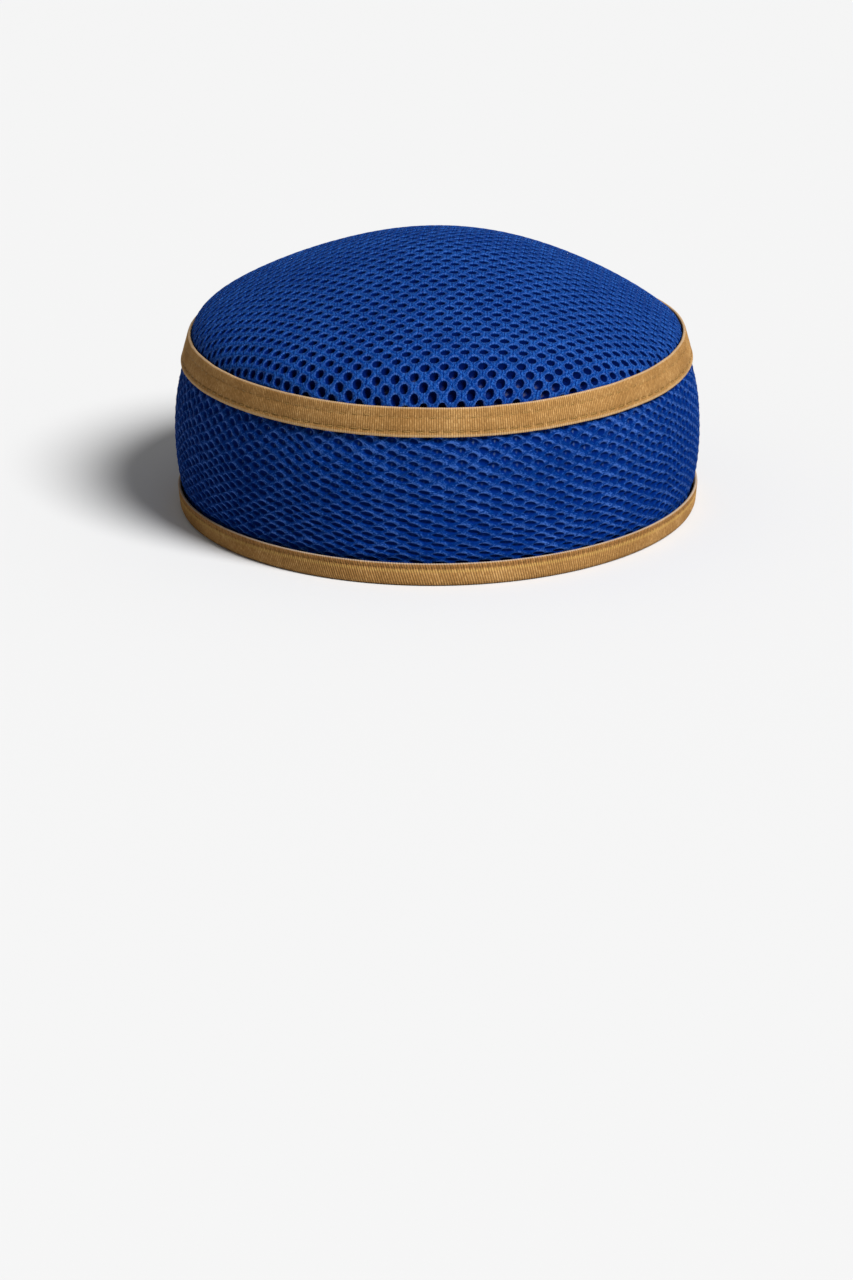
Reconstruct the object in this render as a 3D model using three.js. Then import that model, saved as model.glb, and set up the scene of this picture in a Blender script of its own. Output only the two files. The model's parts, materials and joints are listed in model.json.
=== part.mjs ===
// A round brimless cap of thick spacer mesh: an upright oval side wall and a domed crown panel, with a ribbed
// tape over the seam between them and the same tape folded round the lower rim.
// Millimetres, +Z up. The front faces -Y, and the cap stands on its rim at z = 0.
import * as THREE from "three";

// Cloth
const meshThickness = 3;
const tapeThickness = 1;
const gap = 0.3; // between neighbouring layers of cloth

// Heights above the floor
const bindingTop = 7.5;
const wallFoot = tapeThickness + gap; // the wall stands in the fold of the binding
const wallTop = 54.7;
const tapeLow = 48.1;
const tapeTop = 57.6;
const crownFoot = wallTop + gap;
const crownTurn = 57.3; // where the crown leaves its upright edge and runs inwards
const crownRise = 31; // from the turn to the peak

// Rounding of the two lower edges of the folded binding
const foldRadius = 1.2;

// The outer skin of the side wall is an oval at every height, widest a little below the middle.
const wallForm = [
  { z: 0, halfWidth: 83.0, halfLength: 96.6 },
  { z: 8, halfWidth: 83.9, halfLength: 96.9 },
  { z: 16, halfWidth: 85.1, halfLength: 97.5 },
  { z: 26, halfWidth: 85.6, halfLength: 98.0 },
  { z: 36, halfWidth: 85.0, halfLength: 98.0 },
  { z: 44, halfWidth: 83.4, halfLength: 97.5 },
  { z: 50, halfWidth: 81.7, halfLength: 97.0 },
  { z: 58, halfWidth: 79.5, halfLength: 96.5 },
];
const backFullness = 0.055; // the oval is wider behind the middle than in front by this share

// Towards each side the crown stands up behind the tape by the height of its edge, then bends over into a dome
// that rises as 1 - r ** fullness, where r runs from 1 at the turn to 0 at the peak.
const crownSides = [
  { side: "right", angle: 0, edge: 0.9, fullness: 1.85 },
  { side: "back", angle: 90, edge: 3.0, fullness: 2.15 },
  { side: "left", angle: 180, edge: 6.0, fullness: 1.8 },
  { side: "front", angle: 270, edge: 9.5, fullness: 1.55 },
];
const edgeSharpness = 16; // how quickly the edge bends over

// Fineness of the surfaces
const roundSteps = 72;
const crownSteps = 14;
const foldSteps = 3;
const pinchedRings = 2; // rings at the turn that have no ring of their own on the inside

const meshBlue = new THREE.MeshStandardMaterial({ color: 0x183d85, roughness: 0.85, metalness: 0 });
const tapeTan = new THREE.MeshStandardMaterial({ color: 0xa57c47, roughness: 0.8, metalness: 0 });

// Half-sizes of the oval at a height, straight between the rows of the table.
function formAt(z) {
  const above = wallForm.findIndex((row) => row.z > z);
  const high = wallForm[above > 0 ? above : wallForm.length - 1];
  const low = wallForm[wallForm.indexOf(high) - 1];
  const between = (column) => THREE.MathUtils.mapLinear(z, low.z, high.z, low[column], high[column]);
  return { halfWidth: between("halfWidth"), halfLength: between("halfLength") };
}

// The oval's plan, as the share of its half-width and half-length.
function planShare(turn) {
  return new THREE.Vector2(Math.cos(turn) * (1 + backFullness * Math.sin(turn)), Math.sin(turn));
}

// A point of the oval at a height, moved out square to the oval by offset.
function skinPoint(turn, z, offset) {
  const { halfWidth, halfLength } = formAt(z);
  const share = planShare(turn);
  const slope = Math.sin(turn) - backFullness * Math.cos(2 * turn);
  const out = new THREE.Vector2(halfLength * Math.cos(turn), halfWidth * slope).setLength(offset);
  return new THREE.Vector3(halfWidth * share.x + out.x, halfLength * share.y + out.y, z);
}

// One point for each step round the cap.
function ringOf(pointAt) {
  return Array.from({ length: roundSteps }, (_, step) => pointAt((step / roundSteps) * 2 * Math.PI));
}

// Heights from low to high, with every row of the wall's table that lies between.
function heightsBetween(low, high) {
  const rows = wallForm.map((row) => row.z).filter((z) => z > low && z < high);
  return [low, ...rows, high];
}

// Joins rings of points into a surface that faces out where the rings run downwards on the outside.
// A ring of one point is a pole.
function loft(rings, closesOnItself) {
  const starts = [];
  const points = [];
  for (const ring of rings) {
    starts.push(points.length);
    points.push(...ring);
  }
  const triangles = [];
  const bands = closesOnItself ? rings.length : rings.length - 1;
  for (let band = 0; band < bands; band++) {
    const next = (band + 1) % rings.length;
    const at = (ring, step) => starts[ring] + (step % rings[ring].length);
    for (let step = 0; step < roundSteps; step++) {
      const [a, b] = [at(band, step), at(band, step + 1)];
      const [c, d] = [at(next, step), at(next, step + 1)];
      if (a !== b) triangles.push(a, c, b);
      if (c !== d) triangles.push(b, c, d);
    }
  }
  const geometry = new THREE.BufferGeometry().setFromPoints(points);
  geometry.setIndex(triangles);
  geometry.computeVertexNormals();
  return geometry;
}

// A closed section of [offset, z] pairs carried round the oval.
function sweep(section) {
  const rings = section.map(([offset, z]) => ringOf((turn) => skinPoint(turn, z, offset)));
  return loft(rings, true);
}

// An upright strip of cloth between two heights, its outer face at offset.
function strip(low, high, offset, thickness) {
  const heights = heightsBetween(low, high);
  const outside = heights.map((z) => [offset, z]).reverse();
  const inside = heights.map((z) => [offset - thickness, z]);
  return sweep([...outside, ...inside]);
}

// The tape folded round the lower edge: down the outside, under the edge and up the inside, then back along
// the face that holds the wall.
function foldedBinding() {
  const outerFace = gap + tapeThickness;
  const innerFace = -meshThickness - gap - tapeThickness;
  const corner = (centre, from) =>
    Array.from({ length: foldSteps + 1 }, (_, step) => {
      const angle = THREE.MathUtils.degToRad(from - (90 * step) / foldSteps);
      return [centre + foldRadius * Math.cos(angle), foldRadius + foldRadius * Math.sin(angle)];
    });
  const bottom = [...corner(outerFace - foldRadius, 0), ...corner(innerFace + foldRadius, 270)];
  const upTheInside = heightsBetween(foldRadius, bindingTop).slice(1).map((z) => [innerFace, z]);
  const downTheOutside = heightsBetween(foldRadius, bindingTop).slice(1).map((z) => [outerFace, z]).reverse();
  const channel = heightsBetween(tapeThickness, bindingTop);
  const downTheChannel = channel.map((z) => [innerFace + tapeThickness, z]).reverse();
  const upTheChannel = channel.map((z) => [outerFace - tapeThickness, z]);
  return sweep([...downTheOutside, ...bottom, ...upTheInside, ...downTheChannel, ...upTheChannel]);
}

// The crown's edge and fullness in one direction, blended between the two nearest sides of the table.
function crownShape(turn) {
  const shape = { edge: 0, fullness: 0 };
  for (const row of crownSides) {
    const facing = Math.max(0, Math.cos(turn - THREE.MathUtils.degToRad(row.angle)));
    shape.edge += row.edge * facing ** 2;
    shape.fullness += row.fullness * facing ** 2;
  }
  return shape;
}

// A point of the dome's outer face, r = 0 at the peak and 1 at the turn.
function domePoint(r, turn) {
  const { halfWidth, halfLength } = formAt(crownTurn);
  const { edge, fullness } = crownShape(turn);
  const share = planShare(turn).multiplyScalar(r);
  const upright = edge * Math.sqrt(Math.max(0, 1 - r ** edgeSharpness));
  const dome = (crownRise - edge) * Math.max(0, 1 - r ** fullness);
  return new THREE.Vector3(halfWidth * share.x, halfLength * share.y, crownTurn + upright + dome);
}

// The ring inside an outer ring: each point goes in by the cloth's thickness, square to the outer face.
function innerRing(outer, index) {
  const at = (ring, step) => ring[(step + ring.length) % ring.length];
  return outer[index].map((point, step) => {
    const down = at(outer[index + 1], step).clone().sub(at(outer[index - 1], step));
    const round = at(outer[index], step + 1).clone().sub(at(outer[index], step - 1));
    const inwards = round.cross(down).setLength(meshThickness);
    return point.clone().add(inwards);
  });
}

function domedCrown() {
  const peak = new THREE.Vector3(0, 0, crownTurn + crownRise);
  const outer = [[peak]];
  for (let step = 1; step <= crownSteps; step++) {
    const r = Math.sin((step / crownSteps) * 0.5 * Math.PI); // closer rings towards the turn
    outer.push(ringOf((turn) => domePoint(r, turn)));
  }
  outer.push(ringOf((turn) => skinPoint(turn, crownFoot, 0)));
  const inner = [ringOf((turn) => skinPoint(turn, crownFoot, -meshThickness))];
  for (let index = crownSteps - pinchedRings; index > 0; index--) inner.push(innerRing(outer, index));
  inner.push([peak.clone().setZ(peak.z - meshThickness)]);
  return loft([...outer, ...inner], false);
}

const cap = new THREE.Group();

function addPiece(name, geometry, material) {
  const piece = new THREE.Mesh(geometry, material);
  piece.name = name;
  cap.add(piece);
}

addPiece("crown", domedCrown(), meshBlue);
addPiece("side_wall", strip(wallFoot, wallTop, 0, meshThickness), meshBlue);
addPiece("crown_tape", strip(tapeLow, tapeTop, gap + tapeThickness, tapeThickness), tapeTan);
addPiece("rim_binding", foldedBinding(), tapeTan);

export default cap;
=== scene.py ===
import json
import math
from functools import partial
import bmesh
import bpy
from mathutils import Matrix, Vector

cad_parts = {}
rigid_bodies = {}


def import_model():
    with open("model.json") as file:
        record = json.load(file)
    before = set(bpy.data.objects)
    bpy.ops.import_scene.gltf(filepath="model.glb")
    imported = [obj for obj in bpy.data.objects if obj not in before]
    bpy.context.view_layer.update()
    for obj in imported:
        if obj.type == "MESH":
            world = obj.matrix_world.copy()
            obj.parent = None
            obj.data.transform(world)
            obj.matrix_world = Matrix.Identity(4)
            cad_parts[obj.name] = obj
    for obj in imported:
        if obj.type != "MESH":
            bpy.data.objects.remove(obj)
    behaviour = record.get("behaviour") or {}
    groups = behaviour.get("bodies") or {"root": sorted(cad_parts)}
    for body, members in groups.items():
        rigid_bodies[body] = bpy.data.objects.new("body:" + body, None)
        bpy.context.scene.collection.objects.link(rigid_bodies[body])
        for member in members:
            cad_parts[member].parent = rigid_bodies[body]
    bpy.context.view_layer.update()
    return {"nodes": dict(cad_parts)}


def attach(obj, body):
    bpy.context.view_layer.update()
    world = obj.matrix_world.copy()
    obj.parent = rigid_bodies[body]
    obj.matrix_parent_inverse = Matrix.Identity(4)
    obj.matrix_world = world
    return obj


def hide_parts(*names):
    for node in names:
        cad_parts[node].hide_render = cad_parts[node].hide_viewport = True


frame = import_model()
mm = 0.001
print("frame loaded:", ", ".join(sorted(frame["nodes"])))


# The form that all the cloth lies on, in millimetres, as in the solids
capForm = {
    # height, half width, half length of the side wall's oval
    "wallRows": [(0, 83.0, 96.6), (8, 83.9, 96.9), (16, 85.1, 97.5), (26, 85.6, 98.0),
                 (36, 85.0, 98.0), (44, 83.4, 97.5), (50, 81.7, 97.0), (58, 79.5, 96.5)],
    "backFullness": 0.055,
    "girthHeight": 26,  # the height where the length round the cap is measured
    "crownTurn": 57.3,
    "crownFoot": 55.0,
    "crownRise": 31,
    # angle, height of the upright edge, fullness of the dome towards each side
    "crownSides": [(0, 0.9, 1.85), (90, 3.0, 2.15), (180, 6.0, 1.8), (270, 9.5, 1.55)],
    "edgeSharpness": 16,
    "meshThickness": 3.0,
    "formLow": -1.0, "formHigh": 58.5,  # the upright forms reach a little past the cloth
    "columns": 216,  # fineness of the forms round the cap
}


def ovalAt(z):
    rows = capForm["wallRows"]
    last = len(rows) - 1
    low = max([0] + [i for i in range(last) if rows[i][0] <= z])
    before, a, b, after = rows[max(low - 1, 0)], rows[low], rows[low + 1], rows[min(low + 2, last)]
    span = b[0] - a[0]
    t = (z - a[0]) / span
    sizes = []
    for k in (1, 2):
        leave = (b[k] - before[k]) / (b[0] - before[0]) * span
        arrive = (after[k] - a[k]) / (after[0] - a[0]) * span
        drop = a[k] - b[k]
        bend = -3 * drop - 2 * leave - arrive
        sizes.append(a[k] + t * (leave + t * (bend + t * (2 * drop + leave + arrive))))
    return sizes


def planShare(turn):
    return math.cos(turn) * (1 + capForm["backFullness"] * math.sin(turn)), math.sin(turn)


def skinPoint(turn, z):
    halfWidth, halfLength = ovalAt(z)
    x, y = planShare(turn)
    return Vector((halfWidth * x, halfLength * y, z))


def skinOut(turn, z):
    halfWidth, halfLength = ovalAt(z)
    slope = math.sin(turn) - capForm["backFullness"] * math.cos(2 * turn)
    return Vector((halfLength * math.cos(turn), halfWidth * slope, 0)).normalized()


def domePoint(r, turn):
    halfWidth, halfLength = ovalAt(capForm["crownTurn"])
    edge = 0
    fullness = 0
    for angle, sideEdge, sideFullness in capForm["crownSides"]:
        facing = max(0, math.cos(turn - math.radians(angle))) ** 2
        edge += sideEdge * facing
        fullness += sideFullness * facing
    x, y = planShare(turn)
    upright = edge * math.sqrt(max(0, 1 - r ** capForm["edgeSharpness"]))
    rise = upright + (capForm["crownRise"] - edge) * max(0, 1 - r ** fullness)
    return Vector((r * halfWidth * x, r * halfLength * y, capForm["crownTurn"] + rise))


def pointAlong(path, lengths, wanted):
    i = max([0] + [k for k in range(len(path) - 1) if lengths[k] <= wanted])
    return path[i].lerp(path[i + 1], (wanted - lengths[i]) / (lengths[i + 1] - lengths[i]))


def runLengths(path):
    lengths = [0]
    for a, b in zip(path, path[1:]):
        lengths.append(lengths[-1] + (b - a).length)
    return lengths


# Equal steps round the cap from the middle of the back, and the length round it
def stepsRound(count):
    fine = 2880
    turns = [math.radians(90 + 360 * k / fine) for k in range(fine + 1)]
    lengths = runLengths([skinPoint(turn, capForm["girthHeight"]) for turn in turns])
    path = [Vector((turn, 0, 0)) for turn in turns]
    return [pointAlong(path, lengths, lengths[-1] * k / count).x for k in range(count)], lengths[-1]


# A form is a helper surface: its UV map is the flat cloth, in metres. "out" points away from it, "kept" is
# where cloth beyond the cut is drawn back to, "hem" is where the cut edge ends, "open" is how wide and high
# the holes stand there and how far they lean, and "pressed" is how far a seam sinks the face.
def makeForm(name, spots, faces, spare):
    mesh = bpy.data.meshes.new(name)
    mesh.from_pydata([spot["place"] * mm for spot in spots], [], faces)
    flat = mesh.uv_layers.new(name="flat")
    for loop in mesh.loops:
        flat.data[loop.index].uv = Vector(spots[loop.vertex_index]["flat"]) * mm
    for key in ("kept", "hem", "open"):
        layer = mesh.attributes.new(key, "FLOAT_VECTOR", "POINT")
        for i, spot in enumerate(spots):
            layer.data[i].vector = (*spot[key], 0)[:3]
    pressed = mesh.attributes.new("pressed", "FLOAT", "POINT")
    for i, spot in enumerate(spots):
        pressed.data[i].value = spot.get("pressed", 0)
    out = mesh.attributes.new("out", "FLOAT_VECTOR", "POINT")
    for i, spot in enumerate(spots):
        out.data[i].vector = spot["out"] if "out" in spot else mesh.vertices[i].normal
    spareFaces = mesh.attributes.new("spare", "BOOLEAN", "FACE")
    for i, isSpare in enumerate(spare):
        spareFaces.data[i].value = isSpare
    form = bpy.data.objects.new(name, mesh)
    bpy.context.scene.collection.objects.link(form)
    return form


# Upright form: across is the length round the cap, up is the height
def makeWallForm(name, heights, edges, upAt, openAt, pressedAt, hasBack):
    count = capForm["columns"]
    over = 3  # columns that run past the back seam at both ends
    turns, girth = stepsRound(count)
    columns = range(-over, count + over + 1)
    middle = (edges["lowCut"] + edges["highCut"]) / 2
    spots = []
    for z in heights:
        cut = min(max(z, edges["lowCut"]), edges["highCut"])
        hem = edges["lowHem"] if z < middle else edges["highHem"]
        for j in columns:
            turn = turns[j % count]
            across = girth * j / count
            spots.append({"place": skinPoint(turn, z), "out": skinOut(turn, z), "flat": (across, upAt(z)),
                          "kept": (across, upAt(cut)), "hem": (across, upAt(hem)), "open": openAt(cut),
                          "pressed": pressedAt(cut)})
    faces = []
    spare = []
    wide = len(columns)
    for i in range(len(heights) - 1):
        inHeight = heights[i] >= edges["lowHem"] and heights[i + 1] <= edges["highHem"]
        for k in range(wide - 1):
            a = i * wide + k
            faces.append((a, a + 1, a + wide + 1, a + wide))
            spare.append(not (hasBack and inHeight and over <= k < over + count))
    return makeForm(name, spots, faces, spare)


# Domed form: the flat cloth is spread from the peak, as long along each line as the dome is, then eased
def makeCrownForm(name, settings):
    count = capForm["columns"]
    rings = 46
    fine = 200
    hem = 1.6
    beyond = 12

    def eased(heading, reach, longest):
        gather = 1 - settings["edgeEase"] * (reach / longest) ** 2  # wider meshes near the edge
        x, y = heading * reach * gather
        side = (x / longest) ** 2
        y *= 1 + settings["rowEase"] * side / (1 + settings["rowEaseFade"] * side)  # straighter rows
        return Vector((x - settings["skew"] * y, y - settings["skew"] * x))

    def openness(heading, reach, longest):
        share = (settings["flatFrom"] - longest + reach) / (settings["flatFrom"] - settings["tallTo"])
        share = min(max(share, 0), 1) * heading.y ** 2
        lean = settings["leftLean"] * max(0, -heading.x * reach / longest) * (1 - share)
        return (*Vector(settings["openMiddle"]).lerp(Vector(settings["openEdge"]), share), lean)

    lines = []
    for k in range(count):
        turn = 2 * math.pi * k / count
        path = [domePoint(math.sin(0.5 * math.pi * step / fine), turn) for step in range(fine + 1)]
        path.append(skinPoint(turn, capForm["crownFoot"]))
        lengths = runLengths(path)
        heading = Vector((path[fine // 2].x, path[fine // 2].y)).normalized()
        longest = lengths[-1]
        cut = longest - hem
        line = []
        for ring in range(1, rings + 1):
            reach = cut * ring / rings
            line.append((pointAlong(path, lengths, reach), reach, reach))
        line.append((path[-1], longest, cut))
        line.append((path[-1] - Vector((0, 0, beyond)), longest + beyond, cut))
        lines.append([{"place": place, "flat": eased(heading, flat, longest),
                       "kept": eased(heading, kept, longest), "hem": eased(heading, longest, longest),
                       "open": openness(heading, flat, longest)} for place, flat, kept in line])
    peak = {"place": domePoint(0, 0), "open": settings["openMiddle"]}
    spots = [{**peak, "flat": (0, 0), "kept": (0, 0), "hem": (0, 0)}]
    for ring in range(rings + 2):
        spots += [line[ring] for line in lines]
    faces = [(0, 1 + k, 1 + (k + 1) % count) for k in range(count)]
    spare = [False] * count
    for ring in range(rings + 1):
        for k in range(count):
            a = 1 + ring * count + k
            b = 1 + ring * count + (k + 1) % count
            faces.append((a, a + count, b + count, b))
            spare.append(ring == rings)
    return makeForm(name, spots, faces, spare)


# An element is what repeats on the flat cloth, in millimetres, with its height above the cloth's skin in z.
# "grip" says how far a point follows its element's own shake, "low" how deep it lies between the yarns.
def makeElement(name, points, faces, grips, lows):
    mesh = bpy.data.meshes.new(name)
    mesh.from_pydata(points, [], faces)
    cell = mesh.uv_layers.new(name="cell")
    for loop in mesh.loops:
        cell.data[loop.index].uv = points[loop.vertex_index][:2]
    for key, values in (("grip", grips), ("low", lows)):
        layer = mesh.attributes.new(key, "FLOAT", "POINT")
        for i, value in enumerate(values):
            layer.data[i].value = value
    element = bpy.data.objects.new(name, mesh)
    bpy.context.scene.collection.objects.link(element)
    return element


# One mesh of the net: a raised rim round a hole that goes down to a small floor
def makeCell(name, settings):
    halfWide, halfTall = settings["pitch"] / 2, settings["rowStep"]
    corners = [(halfWide, 0), (0, halfTall), (-halfWide, 0), (0, -halfTall)]
    perEdge = 3
    outline = []
    for k, (x, y) in enumerate(corners):
        nextX, nextY = corners[(k + 1) % 4]
        for step in range(perEdge):
            share = step / perEdge
            height = settings["knotHeight"] if step == 0 else settings["strandHeight"]
            outline.append((x + (nextX - x) * share, y + (nextY - y) * share, height))
    points = list(outline)
    count = len(outline)
    grips = [0] * count
    lows = [0] * count
    power = settings["pointed"]
    for a, b, height, low in settings["rings"]:
        for edgeX, edgeY, _ in outline:
            angle = math.atan2(edgeY / halfTall, edgeX / halfWide)
            c, s = math.cos(angle), math.sin(angle)
            x = a * math.copysign(abs(c) ** power, c)
            y = b * math.copysign(abs(s) ** power, s) + settings["holeSlant"] * x
            points.append((x, y, height - settings["lipTilt"] * s))
            grips.append(1)
            lows.append(low)
    faces = []
    for ring in range(len(settings["rings"])):
        for k in range(count):
            a = ring * count + k
            b = ring * count + (k + 1) % count
            faces.append((a, b, b + count, a + count))
    start = len(settings["rings"]) * count
    points.append((0, 0, settings["floor"]))
    grips.append(1)
    lows.append(1)
    faces += [(start + k, start + (k + 1) % count, len(points) - 1) for k in range(count)]
    return makeElement(name, points, faces, grips, lows)


# One rib of the tape: a closed section, a rib wide, raised in its middle
def makeRib(name, settings):
    section = settings["section"]
    count = len(section)
    wave = [(0, 0), (0.25, 0.7), (0.5, 1), (0.75, 0.7), (1, 0)]  # share of the pitch, share of the height
    points = []
    lows = []
    for share, lift in wave:
        for k, (offset, z, ribbed) in enumerate(section):
            before, after = section[k - 1], section[(k + 1) % count]
            along = Vector((after[0] - before[0], after[1] - before[1])).normalized()
            rise = (lift - 1) * settings["ribHeight"] * ribbed
            lean = settings["ribSlant"] * (section[0][1] - z)
            across = share * settings["pitch"] + lean
            points.append((across, z + along.x * rise, offset - along.y * rise))
            lows.append((1 - lift) * ribbed)
    faces = []
    for column in range(len(wave) - 1):
        for k in range(count):
            a = column * count + k
            b = column * count + (k + 1) % count
            faces.append((a, b, b + count, a + count))
    return makeElement(name, points, faces, [0] * len(points), lows)


# One stitch: a short thread that rises from the cloth and goes down again
def makeStitch(name, row):
    around = 6
    # share of the length, lift, share of the radius
    stations = [(0, -0.42, 0.55), (0.12, -0.1, 0.95), (0.35, 0.06, 1),
                (0.65, 0.06, 1), (0.88, -0.1, 0.95), (1, -0.42, 0.55)]
    points = []
    for share, lift, size in stations:
        radius = size * seam["radius"]
        for k in range(around):
            angle = 2 * math.pi * k / around
            x = (share - 0.5) * row["length"]
            y = row["slant"] * (share - 0.5) + radius * math.cos(angle)
            points.append((x, y, seam["height"] + lift + radius * math.sin(angle)))
    faces = []
    for i in range(len(stations) - 1):
        for k in range(around):
            a = i * around + k
            b = i * around + (k + 1) % around
            faces.append((a, b, b + around, a + around))
    faces.append(tuple(reversed(range(around))))
    faces.append(tuple(range(len(points) - around, len(points))))
    return makeElement(name, points, faces, [1] * len(points), [0] * len(points))


def addNode(tree, kind, inputs=None, **settings):
    node = tree.nodes.new(kind)
    for key, value in settings.items():
        setattr(node, key, value)
    for key, value in (inputs or {}).items():
        socket = node.inputs[key]
        if isinstance(value, bpy.types.NodeSocket):
            tree.links.new(value, socket)
        else:
            socket.default_value = value
    return node


# Named inputs of the tree that lays cloth
layInputs = {
    "Element": "Object", "Form": "Object", "Columns": "Int", "Rows": "Int", "Pitch": "Float",
    "Row Step": "Float", "Start Across": "Float", "Start Up": "Float", "Stagger": "Float",
    "Drift": "Float", "Drift Size": "Float", "Shake": "Float", "Swell": "Float", "Seed": "Int",
    "Thickness": "Float", "Hem Sink": "Float", "Face": "Material", "Back": "Material",
}
flatWeld = 0.004  # millimetres, between neighbouring elements on the flat
cutSlack = 0.0005  # millimetres past the cut that still count as inside
clothWeld = 0.002 * mm
growShare = 0.35  # how much of its shake an element spends on its size


# The one tree that lays cloth: elements in rows on the flat, a slow drift of the yarns, then on to the form
def makeLayTree():
    tree = bpy.data.node_groups.new("layOnForm", "GeometryNodeTree")
    tree.is_modifier = True
    tree.interface.new_socket("Geometry", in_out="INPUT", socket_type="NodeSocketGeometry")
    for name, kind in layInputs.items():
        tree.interface.new_socket(name, in_out="INPUT", socket_type="NodeSocket" + kind)
    tree.interface.new_socket("Geometry", in_out="OUTPUT", socket_type="NodeSocketGeometry")
    given = addNode(tree, "NodeGroupInput").outputs

    def geo(kind, inputs=None, **settings):
        return addNode(tree, "GeometryNode" + kind, inputs, **settings).outputs[0]

    def math2(operation, a, b=0.0):
        return addNode(tree, "ShaderNodeMath", {0: a, 1: b}, operation=operation).outputs[0]

    def vec(operation, a, b=(0, 0, 0)):
        return addNode(tree, "ShaderNodeVectorMath", {0: a, 1: b}, operation=operation).outputs[0]

    def scaled(vector, amount):
        inputs = {0: vector, "Scale": amount}
        return addNode(tree, "ShaderNodeVectorMath", inputs, operation="SCALE").outputs[0]

    def named(name, kind="FLOAT_VECTOR"):
        return geo("InputNamedAttribute", {"Name": name}, data_type=kind)

    def stored(geometry, name, value, kind="FLOAT_VECTOR", domain="POINT"):
        inputs = {"Geometry": geometry, "Name": name, "Value": value}
        return geo("StoreNamedAttribute", inputs, data_type=kind, domain=domain)

    def parts(vector):
        return addNode(tree, "ShaderNodeSeparateXYZ", {0: vector}).outputs

    def joined(x, y, z=0.0):
        return addNode(tree, "ShaderNodeCombineXYZ", {0: x, 1: y, 2: z}).outputs[0]

    def isTrue(a, operation, b, kind="FLOAT"):
        inputs = {"A": a, "B": b}
        return addNode(tree, "FunctionNodeCompare", inputs, data_type=kind, operation=operation).outputs[0]

    def objectOf(name, asInstance):
        inputs = {"Object": given[name], "As Instance": asInstance}
        return addNode(tree, "GeometryNodeObjectInfo", inputs).outputs["Geometry"]

    form = objectOf("Form", False)
    flatMap = named("flat")
    place = geo("InputPosition")

    def sampled(value, spot):
        inputs = {"Mesh": form, "Value": value, "Source UV Map": flatMap, "Sample UV": scaled(spot, mm)}
        return geo("SampleUVSurface", inputs, data_type="FLOAT_VECTOR")

    # Rows on the flat
    index = geo("InputIndex")
    row = math2("FLOOR", math2("DIVIDE", math2("ADD", index, 0.5), given["Columns"]))
    column = math2("SUBTRACT", index, math2("MULTIPLY", row, given["Columns"]))
    shift = math2("MULTIPLY", math2("MODULO", row, 2.0), given["Stagger"])
    steps = math2("MULTIPLY", given["Pitch"], math2("ADD", column, shift))
    across = math2("ADD", given["Start Across"], steps)
    up = math2("ADD", given["Start Up"], math2("MULTIPLY", given["Row Step"], row))
    count = math2("MULTIPLY", given["Columns"], given["Rows"])
    points = geo("Points", {"Count": count, "Position": joined(across, up)})
    laid = geo("InstanceOnPoints", {"Points": points, "Instance": objectOf("Element", True)})
    limits = {"Min": (-1, -1, -1), "Max": (1, 1, 1), "Seed": given["Seed"]}
    lot = addNode(tree, "FunctionNodeRandomValue", limits, data_type="FLOAT_VECTOR").outputs[0]
    laid = stored(laid, "lot", lot, domain="INSTANCE")
    laid = geo("RealizeInstances", {0: laid})
    laid = geo("MergeByDistance", {"Geometry": laid, "Distance": flatWeld})

    # Each element's own shake and opening, and the slow drift
    lotParts = parts(named("lot"))
    grip = named("grip", "FLOAT")
    cell = named("cell")
    grow = scaled(cell, math2("MULTIPLY", lotParts[0], growShare))
    loose = math2("MULTIPLY", grip, given["Shake"])
    shake = scaled(vec("ADD", grow, joined(lotParts[1], lotParts[2])), loose)
    flat = parts(place)
    onFlat = joined(flat[0], flat[1])
    opened = sampled(named("open"), onFlat)
    wider = vec("MULTIPLY", cell, vec("SUBTRACT", opened, (1, 1, 0)))
    leaning = joined(0.0, math2("MULTIPLY", parts(cell)[0], parts(opened)[2]))
    shake = vec("ADD", shake, scaled(vec("ADD", wider, leaning), grip))
    waves = {"Vector": sampled(place, onFlat), "W": given["Seed"], "Detail": 2.0,
             "Scale": math2("DIVIDE", 1 / mm, given["Drift Size"])}
    noise = addNode(tree, "ShaderNodeTexNoise", waves, noise_dimensions="4D").outputs["Color"]
    noise = parts(vec("SUBTRACT", noise, (0.5, 0.5, 0.5)))
    drift = scaled(joined(noise[0], noise[1]), given["Drift"])
    spot = vec("ADD", vec("ADD", onFlat, shake), drift)
    height = math2("ADD", flat[2], math2("MULTIPLY", noise[2], given["Swell"]))
    height = math2("SUBTRACT", height, parts(sampled(named("pressed", "FLOAT"), onFlat))[0])

    # On to the form, with what lies past the cut drawn back to it
    kept = sampled(named("kept"), spot)
    past = addNode(tree, "ShaderNodeVectorMath", {0: kept, 1: spot}, operation="DISTANCE").outputs["Value"]
    hem = sampled(named("hem"), kept)
    outHere = vec("NORMALIZE", sampled(named("out"), kept))
    onForm = vec("ADD", sampled(place, kept), scaled(outHere, math2("MULTIPLY", height, mm)))
    laid = stored(laid, "past", past, "FLOAT")
    laid = stored(laid, "cloth", onFlat, "FLOAT2", "CORNER")
    laid = stored(laid, "hemOut", vec("NORMALIZE", sampled(named("out"), hem)))
    laid = stored(laid, "hemPlace", sampled(place, hem))
    laid = geo("SetPosition", {"Geometry": laid, "Position": onForm})
    isPast = isTrue(named("past", "FLOAT"), "GREATER_THAN", cutSlack)
    laid = geo("DeleteGeometry", {"Geometry": laid, "Selection": isPast}, domain="FACE")
    laid = geo("MergeByDistance", {"Geometry": laid, "Distance": clothWeld})

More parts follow.
